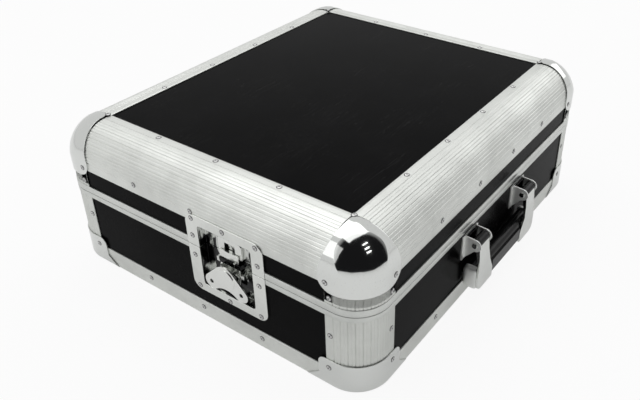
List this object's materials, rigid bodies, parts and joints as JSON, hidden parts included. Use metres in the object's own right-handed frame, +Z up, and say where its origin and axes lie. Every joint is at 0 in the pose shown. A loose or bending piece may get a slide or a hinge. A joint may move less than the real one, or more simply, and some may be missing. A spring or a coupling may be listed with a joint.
{
  "type": "turntable flight case",
  "caption": "Low transport case with fluted metal profiles, ball corners, a rear-hinged lid, recessed butterfly latches and a front drop handle.",
  "frame": {"origin": "on the floor plane the case stands on, at the middle of the bounding box of the closed case with its handle and hinges, which is 6.4 mm in front of the middle between the front and rear profiles", "axes": "+Z up, -Y towards the drop handle at the front, +Y towards the hinges, -X towards the end with the latch seen in the picture"},
  "size_m": [0.5412, 0.4852, 0.1911],
  "materials": {
    "black_laminate": "smooth black laminate on plywood",
    "profile_aluminium": "satin, fluted",
    "band_aluminium": "satin",
    "chrome_corner": "bright plated",
    "latch_steel": "bright zinc plated",
    "handle_steel": "bright zinc plated",
    "grip_plastic": "gloss black",
    "hinge_steel": "bright zinc plated",
    "rivet_aluminium": "satin",
    "foam": "open-cell foam, matt dark grey"
  },
  "bodies": {
    "base": {"base_bottom_panel": "black_laminate", "base_closing_profile_front": "band_aluminium", "base_closing_profile_rear": "band_aluminium", "base_corner_profile_front_left": "profile_aluminium", "base_corner_profile_front_right": "profile_aluminium", "base_corner_profile_rear_left": "profile_aluminium", "base_corner_profile_rear_right": "profile_aluminium", "base_edge_profile_front": "profile_aluminium", "base_edge_profile_left": "profile_aluminium", "base_edge_profile_rear": "profile_aluminium", "base_edge_profile_right": "profile_aluminium", "base_floor_foam": "foam", "base_front_panel": "black_laminate", "base_left_panel": "black_laminate", "base_rear_panel": "black_laminate", "base_right_panel": "black_laminate", "base_rivets": "rivet_aluminium", "base_side_foam": "foam", "bottom_corner_front_left": "chrome_corner", "bottom_corner_front_right": "chrome_corner", "bottom_corner_rear_left": "chrome_corner", "bottom_corner_rear_right": "chrome_corner", "handle_bracket_left": "handle_steel", "handle_bracket_right": "handle_steel", "handle_pins": "handle_steel", "hinge_base_leaves": "hinge_steel", "hinge_pins": "hinge_steel", "left_base_latch_dish": "latch_steel", "right_base_latch_dish": "latch_steel"},
    "lid": {"ball_corner_front_left": "chrome_corner", "ball_corner_front_right": "chrome_corner", "ball_corner_rear_left": "chrome_corner", "ball_corner_rear_right": "chrome_corner", "hinge_lid_leaves": "hinge_steel", "left_lid_latch_dish": "latch_steel", "lid_closing_profile_front": "band_aluminium", "lid_closing_profile_rear": "band_aluminium", "lid_corner_profiles": "profile_aluminium", "lid_foam": "foam", "lid_front_strip": "black_laminate", "lid_left_strip": "black_laminate", "lid_profile_front": "profile_aluminium", "lid_profile_left": "profile_aluminium", "lid_profile_rear": "profile_aluminium", "lid_profile_right": "profile_aluminium", "lid_rear_strip": "black_laminate", "lid_right_strip": "black_laminate", "lid_rivets": "rivet_aluminium", "lid_top_panel": "black_laminate", "right_lid_latch_dish": "latch_steel", "strike_plates": "latch_steel"},
    "handle": {"handle_arm_left": "handle_steel", "handle_arm_right": "handle_steel", "handle_grip": "grip_plastic"},
    "left_wing": {"left_wing": "latch_steel"},
    "left_hook": {"left_hook": "latch_steel"},
    "right_wing": {"right_wing": "latch_steel"},
    "right_hook": {"right_hook": "latch_steel"}
  },
  "joints": [
    {"name": "lid_hinge", "type": "hinge", "parent": "base", "child": "lid", "pos_m": [0, 0.2387, 0.105], "axis": [-1, 0, 0], "range_deg": [0, 95]},
    {"name": "handle_swing", "type": "hinge", "parent": "base", "child": "handle", "pos_m": [0.008, -0.2341, 0.084], "axis": [-1, 0, 0], "range_deg": [0, 90]},
    {"name": "left_wing_turn", "type": "hinge", "parent": "base", "child": "left_wing", "pos_m": [-0.2677, -0.0401, 0.08], "axis": [-1, 0, 0], "range_deg": [0, 180]},
    {"name": "left_hook_slide", "type": "slide", "parent": "base", "child": "left_hook", "axis": [0, 0, 1], "range_m": [0, 0.007]},
    {"name": "right_wing_turn", "type": "hinge", "parent": "base", "child": "right_wing", "pos_m": [0.2677, -0.0401, 0.08], "axis": [1, 0, 0], "range_deg": [0, 180]},
    {"name": "right_hook_slide", "type": "slide", "parent": "base", "child": "right_hook", "axis": [0, 0, 1], "range_m": [0, 0.007]}
  ],
  "couplings": [
    {"joint": "left_hook_slide", "follows": "left_wing_turn", "m_per_rad": 0.002228},
    {"joint": "right_hook_slide", "follows": "right_wing_turn", "m_per_rad": 0.002228}
  ]
}
